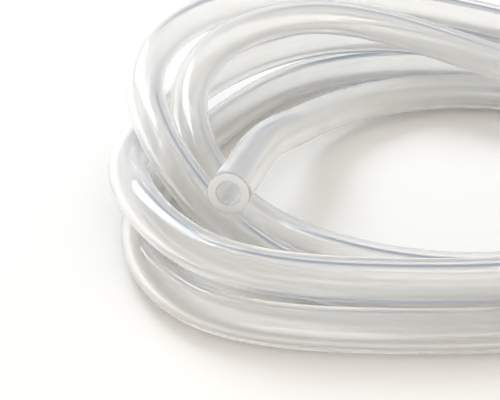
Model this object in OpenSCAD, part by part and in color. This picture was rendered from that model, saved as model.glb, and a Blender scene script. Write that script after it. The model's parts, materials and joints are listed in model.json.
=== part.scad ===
// A loose hand-wound coil of soft clear tubing: one length, cut square at both ends.

/* [Tube] */
// Outside diameter of the tube
tube_od = 10; // [8:0.5:12]
// Thickness of the tube's wall all round the bore
wall = 2; // [1.5:0.25:2.5]

/* [Coil] */
// Radius of the ring that the turns are laid about
coil_reach = 75.5; // [70:0.5:110]
// Least room between neighbouring turns
turn_gap = 0.1; // [0.1:0.1:1]
// Straight length behind each cut end
end_straight = 26; // [12:1:30]

/* [Hidden] */

// Turns lie side by side and on top of each other, one pitch apart
pitch = tube_od + turn_gap;

// The lay, from the free end on top of the coil to the end on the floor. Each pair is one station: how far
// it stands outside the ring, and how high it lies above the floor turns, both in pitches. Stations follow
// each other clockwise as seen from above. Each turn starts at the left, where upper turns climb over lower
// ones.
first_heading = 200;
station_step = 30;
lead_in = [-0.1, 1.6];
turns = [
    [[-2.6, 1.6], [-4.2, 1.1], [-3.8, 0.5], [-3.2, 0.3], [-2.0, 0.1], [-0.8, 0.0],
     [-1.0, 0.0], [-1.4, 0.0], [-1.7, 0.0], [-1.9, 0.0], [-2.3, 0.0], [-2.4, 0.0]],
    [[-2.0, 0.1], [-0.9, 1.3], [-0.2, 2.0], [-0.3, 2.1], [-2.1, 1.6], [-2.5, 1.2],
     [-1.3, 1.3], [-0.4, 0.7], [-0.5, 0.0], [-0.7, 0.0], [-0.9, 0.0], [-1.0, 0.0]],
    [[-0.6, 1.3], [0.3, 2.3], [0.6, 2.6], [0.8, 2.3], [-0.5, 2.0], [-0.6, 1.7],
     [0.0, 1.5], [0.4, 1.4], [0.1, 1.0], [-0.1, 0.9], [-0.3, 0.9], [1.4, 1.0]],
    [[0.7, 1.3], [0.2, 0.3], [0.2, 0.7], [0.2, 1.1], [-0.2, 1.0], [0.0, 0.6],
     [0.5, 0.1], [0.7, 0.0], [0.6, 0.0], [0.5, 0.0], [0.3, 0.0], [2.0, 0.0]],
    [[0.6, 0.0], [-1.1, 0.0], [-1.1, 0.0], [0.2, 0.0], [0.5, 0.0], [1.1, 0.0]]
];
lead_out = [1.9, 0.0];
stations = concat([lead_in], [for (turn = turns) each turn], [lead_out]);
spans = len(stations) - 3;

// Fineness of the swept wall and of the round sleeves at its ends
sides = 12;
rings_per_span = 4;
sleeve_facets = 96;

// The swept wall laps into each sleeve, set back from the sleeve's outside and from its bore
lap = 1;
lap_inset = 0.15;
lap_flare = 0.3;

// A polygon of as much area as the circle that it stands for
round_up = sqrt(2 * PI / (sides * sin(360 / sides)));
outer_radius = tube_od / 2;
bore_radius = outer_radius - wall;

function station_point(i) =
    let (heading = first_heading - station_step * (i - 1),
         reach = coil_reach + stations[i][0] * pitch)
    [reach * cos(heading), reach * sin(heading), outer_radius + stations[i][1] * pitch];

station_points = [for (i = [0 : len(stations) - 1]) station_point(i)];

function unit(v) = v / norm(v);

// A smooth spline guided by four stations at a time: its place, and its direction, at u spans from the start
function span_at(u) = min(floor(u), spans - 1);
function guides(u) = [for (k = [0 : 3]) station_points[span_at(u) + k]];
function place_weights(t) =
    [(1 - t) ^ 3, 3 * t ^ 3 - 6 * t ^ 2 + 4, 1 + 3 * t + 3 * t ^ 2 - 3 * t ^ 3, t ^ 3] / 6;
function course_weights(t) = [-(1 - t) ^ 2, 3 * t ^ 2 - 4 * t, 1 + 2 * t - 3 * t ^ 2, t ^ 2] / 2;
function place(u) = place_weights(u - span_at(u)) * guides(u);
function course(u) = unit(course_weights(u - span_at(u)) * guides(u));

// One ring of the wall: a polygon across the tube with a flat side towards the floor
function ring(centre, along, radius) =
    let (across = unit(cross(along, [0, 0, 1])),
         upward = cross(across, along))
    [for (k = [0 : sides - 1])
        let (a = 360 * (k + 0.5) / sides - 90)
        centre + radius * (cos(a) * across + sin(a) * upward)];

// Rings of one wall, with another radius where it laps into the sleeves at both ends
function wall_rings(radius, lap_radius) = concat(
    [ring(place(0) - lap * course(0), course(0), lap_radius)],
    [for (i = [1 : spans * rings_per_span - 1])
        ring(place(i / rings_per_span), course(i / rings_per_span), radius * round_up)],
    [ring(place(spans) + lap * course(spans), course(spans), lap_radius)]);

outer_rings = wall_rings(outer_radius, outer_radius - lap_inset);
bore_rings = wall_rings(bore_radius, bore_radius + lap_flare);
ring_count = len(outer_rings);
outer_points = [for (r = outer_rings) each r];
bore_points = [for (r = bore_rings) each r];

// Middle of the coil's footprint on the floor
function middle(axis) =
    let (reaches = [for (p = outer_points) p[axis]])
    (min(reaches) + max(reaches)) / 2;
base_centre = [middle(0), middle(1), 0];

// Two triangles for each side of each stretch between rings, on the outer wall and on the bore
function outer_corner(i, k) = i * sides + k % sides;
function bore_corner(i, k) = ring_count * sides + outer_corner(i, k);

wall_faces = [for (i = [0 : ring_count - 2], k = [0 : sides - 1]) each [
    [outer_corner(i, k), outer_corner(i, k + 1), outer_corner(i + 1, k + 1)],
    [outer_corner(i, k), outer_corner(i + 1, k + 1), outer_corner(i + 1, k)],
    [bore_corner(i, k), bore_corner(i + 1, k + 1), bore_corner(i, k + 1)],
    [bore_corner(i, k), bore_corner(i + 1, k), bore_corner(i + 1, k + 1)]]];

last = ring_count - 1;
end_faces = [for (k = [0 : sides - 1]) each [
    [outer_corner(0, k), bore_corner(0, k), bore_corner(0, k + 1)],
    [outer_corner(0, k), bore_corner(0, k + 1), outer_corner(0, k + 1)],
    [outer_corner(last, k), bore_corner(last, k + 1), bore_corner(last, k)],
    [outer_corner(last, k), outer_corner(last, k + 1), bore_corner(last, k + 1)]]];

// A straight end with a true bore, which leaves the coil at a point in the direction outward
module end_sleeve(start, outward) {
    translate(start)
        rotate([0, acos(outward.z), atan2(outward.y, outward.x)])
            difference() {
                cylinder(h = end_straight, r = outer_radius, $fn = sleeve_facets);
                translate([0, 0, -lap])
                    cylinder(h = end_straight + 2 * lap, r = bore_radius, $fn = sleeve_facets);
            }
}

module tube() {
    color("gainsboro", 0.7)
        translate(-base_centre) {
            polyhedron(concat(outer_points, bore_points), concat(wall_faces, end_faces), convexity = 20);
            end_sleeve(place(0), -course(0));
            end_sleeve(place(spans), course(spans));
        }
}

tube();
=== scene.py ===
import json
import math

import bmesh
import bpy
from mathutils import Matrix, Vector


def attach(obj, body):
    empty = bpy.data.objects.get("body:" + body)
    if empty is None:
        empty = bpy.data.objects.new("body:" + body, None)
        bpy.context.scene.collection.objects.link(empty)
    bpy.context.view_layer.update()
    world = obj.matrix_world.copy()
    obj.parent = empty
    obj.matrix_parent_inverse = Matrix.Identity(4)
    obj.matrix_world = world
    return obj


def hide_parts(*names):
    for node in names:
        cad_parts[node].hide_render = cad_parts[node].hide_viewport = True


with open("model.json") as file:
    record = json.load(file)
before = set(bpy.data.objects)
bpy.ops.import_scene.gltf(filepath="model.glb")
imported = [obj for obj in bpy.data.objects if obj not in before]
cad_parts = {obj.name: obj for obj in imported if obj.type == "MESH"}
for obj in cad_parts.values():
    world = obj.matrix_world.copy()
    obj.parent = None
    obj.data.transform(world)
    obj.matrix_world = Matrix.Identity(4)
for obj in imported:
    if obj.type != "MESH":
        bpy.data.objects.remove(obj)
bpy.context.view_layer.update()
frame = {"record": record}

# Viewpoint
# A long lens looks down on the coil's left half from a little over an arm's length,
# so the coil runs out of the picture on the right.
camera_place = Vector((-0.0464, -0.3517, 0.1804))
camera_pitch = math.radians(27.5)
lens_mm = 108

camera_data = bpy.data.cameras.new("camera")
camera_data.lens = lens_mm
camera_data.sensor_width = 36
camera = bpy.data.objects.new("camera", camera_data)
camera.location = camera_place
camera.rotation_euler = (math.pi / 2 - camera_pitch, 0, 0)
bpy.context.collection.objects.link(camera)
bpy.context.scene.camera = camera

# Tubing
# One length of clear soft silicone tubing, extruded through a round die, wound by hand into
# a loose coil that lies on the floor, and cut square with a blade at both ends.
tube_od = 0.010
tube_bore = 0.006
coil_reach = 0.0755
turn_gap = 0.0001
end_straight = 0.026
pitch = tube_od + turn_gap
first_heading = 200
station_step = 30
lead_in = (-0.1, 1.6)
turns = (
    ((-2.6, 1.6), (-4.2, 1.1), (-3.8, 0.5), (-3.2, 0.3), (-2.0, 0.1), (-0.8, 0.0),
     (-1.0, 0.0), (-1.4, 0.0), (-1.7, 0.0), (-1.9, 0.0), (-2.3, 0.0), (-2.4, 0.0)),
    ((-2.0, 0.1), (-0.9, 1.3), (-0.2, 2.0), (-0.3, 2.1), (-2.1, 1.6), (-2.5, 1.2),
     (-1.3, 1.3), (-0.4, 0.7), (-0.5, 0.0), (-0.7, 0.0), (-0.9, 0.0), (-1.0, 0.0)),
    ((-0.6, 1.3), (0.3, 2.3), (0.6, 2.6), (0.8, 2.3), (-0.5, 2.0), (-0.6, 1.7),
     (0.0, 1.5), (0.4, 1.4), (0.1, 1.0), (-0.1, 0.9), (-0.3, 0.9), (1.4, 1.0)),
    ((0.7, 1.3), (0.2, 0.3), (0.2, 0.7), (0.2, 1.1), (-0.2, 1.0), (0.0, 0.6),
     (0.5, 0.1), (0.7, 0.0), (0.6, 0.0), (0.5, 0.0), (0.3, 0.0), (2.0, 0.0)),
    ((0.6, 0.0), (-1.1, 0.0), (-1.1, 0.0), (0.2, 0.0), (0.5, 0.0), (1.1, 0.0)),
)
lead_out = (1.9, 0.0)
rings_per_span = 14
rings_per_end = 10
sides = 56
cut_edge = 0.00012

stations = []
for i, (outside, level) in enumerate([lead_in] + [s for turn in turns for s in turn] + [lead_out]):
    heading = math.radians(first_heading - station_step * (i - 1))
    reach = coil_reach + outside * pitch
    height = tube_od / 2 + level * pitch
    stations.append(Vector((reach * math.cos(heading), reach * math.sin(heading), height)))


def spline_place(span, t):
    a, b, c, d = stations[span:span + 4]
    return ((1 - t) ** 3 * a + (3 * t ** 3 - 6 * t ** 2 + 4) * b
            + (1 + 3 * t + 3 * t ** 2 - 3 * t ** 3) * c + t ** 3 * d) / 6


spans = len(stations) - 3
start = spline_place(0, 0)
finish = spline_place(spans - 1, 1)
start_out = (stations[0] - stations[2]).normalized()
finish_out = (stations[-1] - stations[-3]).normalized()
route = [start + start_out * end_straight * (1 - k / rings_per_end) for k in range(rings_per_end)]
route += [spline_place(s, k / rings_per_span) for s in range(spans) for k in range(rings_per_span)]
route += [finish + finish_out * end_straight * k / rings_per_end for k in range(rings_per_end + 1)]

# The free end's bore in the record says where the whole route lies
free_end = next(m for m in frame["record"]["mounts"] if m["name"] == "free_end_bore")
shift = Vector(free_end["pos_m"]) - (route[0] + start) / 2
route = [place + shift for place in route]


def swept_wall(name, radius):
    curve = bpy.data.curves.new(name, "CURVE")
    curve.dimensions = "3D"
    curve.bevel_depth = radius
    curve.bevel_resolution = sides // 2 - 2
    spline = curve.splines.new("POLY")
    spline.points.add(len(route) - 1)
    for point, place in zip(spline.points, route):
        point.co = (*place, 1)
    holder = bpy.data.objects.new(name, curve)
    mesh = bpy.data.meshes.new_from_object(holder)
    bpy.data.objects.remove(holder)
    return mesh


walls = bmesh.new()
walls.from_mesh(swept_wall("outside", tube_od / 2))
outside_count = len(walls.faces)
walls.from_mesh(swept_wall("bore", tube_bore / 2))
walls.faces.ensure_lookup_table()
bmesh.ops.reverse_faces(walls, faces=walls.faces[outside_count:])
for face in walls.faces:
    face.smooth = True

for tip in (route[0], route[-1]):
    rims = [e for e in walls.edges if e.is_boundary and (e.verts[0].co - tip).length < tube_od]
    cut = bmesh.ops.bridge_loops(walls, edges=rims)
    for face in cut["faces"]:
        face.material_index = 1
    bmesh.ops.bevel(walls, geom=rims, offset=cut_edge, offset_type="OFFSET", affect="EDGES",
                    segments=2, profile=0.5, material=-1)

tube_mesh = bpy.data.meshes.new("tubing")
walls.to_mesh(tube_mesh)
walls.free()
tube = bpy.data.objects.new("tubing", tube_mesh)
bpy.context.collection.objects.link(tube)

# Clear silicone is a little milky and glossy, with faint lengthwise lines from the die. It is milkier where
# the wall is seen at a slant, because sight passes more of it, and clear from inside the wall.
silicone = bpy.data.materials.new("tubing_silicone")
silicone.use_nodes = True
nodes, links = silicone.node_tree.nodes, silicone.node_tree.links
shader = nodes["Principled BSDF"]
shader.inputs["IOR"].default_value = 1.41
shader.inputs["Subsurface Weight"].default_value = 1
shader.inputs["Subsurface Radius"].default_value = (1, 0.95, 0.9)
shader.inputs["Subsurface Scale"].default_value = 0.004

tube_space = nodes.new("ShaderNodeTexCoord")
haze = nodes.new("ShaderNodeTexNoise")
haze.inputs["Scale"].default_value = 45
haze.inputs["Detail"].default_value = 2
links.new(tube_space.outputs["Object"], haze.inputs["Vector"])
milk = nodes.new("ShaderNodeValToRGB")
milk.color_ramp.elements[0].position = 0.35
milk.color_ramp.elements[0].color = (1, 0.998, 0.99, 1)
milk.color_ramp.elements[1].position = 0.65
milk.color_ramp.elements[1].color = (0.994, 0.99, 0.98, 1)
links.new(haze.outputs["Fac"], milk.inputs["Fac"])
links.new(milk.outputs["Color"], shader.inputs["Base Color"])
slant = nodes.new("ShaderNodeLayerWeight")
depth = nodes.new("ShaderNodeMapRange")
depth.inputs["From Min"].default_value = 0.3
depth.inputs["From Max"].default_value = 1
depth.inputs["To Min"].default_value = 0.74
depth.inputs["To Max"].default_value = 0.5
links.new(slant.outputs["Facing"], depth.inputs["Value"])
wall_side = nodes.new("ShaderNodeNewGeometry")
clearness = nodes.new("ShaderNodeMath")
clearness.operation = "MAXIMUM"
links.new(depth.outputs["Result"], clearness.inputs[0])
links.new(wall_side.outputs["Backfacing"], clearness.inputs[1])
links.new(clearness.outputs["Value"], shader.inputs["Transmission Weight"])

along_tube = nodes.new("ShaderNodeMapping")
along_tube.inputs["Scale"].default_value = (30, 60, 1)
links.new(tube_space.outputs["UV"], along_tube.inputs["Vector"])
die_lines = nodes.new("ShaderNodeTexNoise")
die_lines.inputs["Scale"].default_value = 1
die_lines.inputs["Detail"].default_value = 1
links.new(along_tube.outputs["Vector"], die_lines.inputs["Vector"])
gloss = nodes.new("ShaderNodeMapRange")
gloss.inputs["From Min"].default_value = 0.3
gloss.inputs["From Max"].default_value = 0.7
gloss.inputs["To Min"].default_value = 0.03
gloss.inputs["To Max"].default_value = 0.07
links.new(die_lines.outputs["Fac"], gloss.inputs["Value"])
links.new(gloss.outputs["Result"], shader.inputs["Roughness"])
tube_mesh.materials.append(silicone)

# The blade leaves the cut faces dull
cut_face = bpy.data.materials.new("cut_silicone")
cut_face.use_nodes = True
nodes, links = cut_face.node_tree.nodes, cut_face.node_tree.links
shader = nodes["Principled BSDF"]
shader.inputs["Base Color"].default_value = (0.75, 0.76, 0.76, 1)
shader.inputs["IOR"].default_value = 1.41
tube_space = nodes.new("ShaderNodeTexCoord")
blade_marks = nodes.new("ShaderNodeTexNoise")
blade_marks.inputs["Scale"].default_value = 900
links.new(tube_space.outputs["Object"], blade_marks.inputs["Vector"])
dullness = nodes.new("ShaderNodeMapRange")
dullness.inputs["To Min"].default_value = 0.35
dullness.inputs["To Max"].default_value = 0.6
links.new(blade_marks.outputs["Fac"], dullness.inputs["Value"])
links.new(dullness.outputs["Result"], shader.inputs["Roughness"])
tube_mesh.materials.append(cut_face)

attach(tube, "root")
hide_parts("tube")

# Floor
# A seamless white table top, matt, which fills the picture and lights the coil from below.
floor_reach = 2.5
floor_form = bmesh.new()
bmesh.ops.create_grid(floor_form, x_segments=1, y_segments=1, size=floor_reach)
floor_mesh = bpy.data.meshes.new("floor")
floor_form.to_mesh(floor_mesh)
floor_form.free()
floor = bpy.data.objects.new("floor", floor_mesh)
bpy.context.collection.objects.link(floor)
paper = bpy.data.materials.new("white_paper")
paper.use_nodes = True
paper_shader = paper.node_tree.nodes["Principled BSDF"]
paper_shader.inputs["Base Color"].default_value = (0.98, 0.965, 0.94, 1)
paper_shader.inputs["Roughness"].default_value = 0.9
floor_mesh.materials.append(paper)

# Light
# A cool soft panel above and behind the coil to the left, a low warm fill from the front, and a warm white
# room with a dim blue far side.
def soft_lamp(name, place, width, height, energy, colour):
    lamp_data = bpy.data.lights.new(name, "AREA")
    lamp_data.shape = "RECTANGLE"
    lamp_data.size = width
    lamp_data.size_y = height
    lamp_data.energy = energy
    lamp_data.color = colour
    lamp = bpy.data.objects.new(name, lamp_data)
    lamp.location = place
    lamp.rotation_euler = (-place).to_track_quat("-Z", "Y").to_euler()
    bpy.context.collection.objects.link(lamp)


soft_lamp("panel", Vector((-0.3, 0.5, 0.56)), width=0.3, height=0.45, energy=3.1, colour=(0.78, 0.88, 1))
soft_lamp("fill", Vector((-0.15, -0.9, 0.14)), width=1.0, height=0.24, energy=1.9, colour=(1, 0.96, 0.9))

far_side = Vector((0.25, 0.92, 0.3)).normalized()
room = bpy.data.worlds.new("room")
room.use_nodes = True
nodes, links = room.node_tree.nodes, room.node_tree.links
outlook = nodes.new("ShaderNodeTexCoord")
towards = nodes.new("ShaderNodeVectorMath")
towards.operation = "DOT_PRODUCT"
towards.inputs[1].default_value = far_side
links.new(outlook.outputs["Generated"], towards.inputs[0])
room_colour = nodes.new("ShaderNodeValToRGB")
room_colour.color_ramp.interpolation = "EASE"
room_colour.color_ramp.elements[0].position = 0.86
room_colour.color_ramp.elements[0].color = (1, 0.965, 0.91, 1)
room_colour.color_ramp.elements[1].position = 0.98
room_colour.color_ramp.elements[1].color = (0.15, 0.23, 0.35, 1)
links.new(towards.outputs["Value"], room_colour.inputs["Fac"])
links.new(room_colour.outputs["Color"], nodes["Background"].inputs["Color"])
nodes["Background"].inputs["Strength"].default_value = 0.82
bpy.context.scene.world = room

# Light passes up to four surfaces in each turn that it crosses
light_bounces = 40
bpy.context.scene.cycles.max_bounces = light_bounces
bpy.context.scene.cycles.transmission_bounces = light_bounces
bpy.context.scene.cycles.glossy_bounces = light_bounces
bpy.context.scene.cycles.diffuse_bounces = light_bounces
bpy.context.scene.view_settings.view_transform = "Standard"
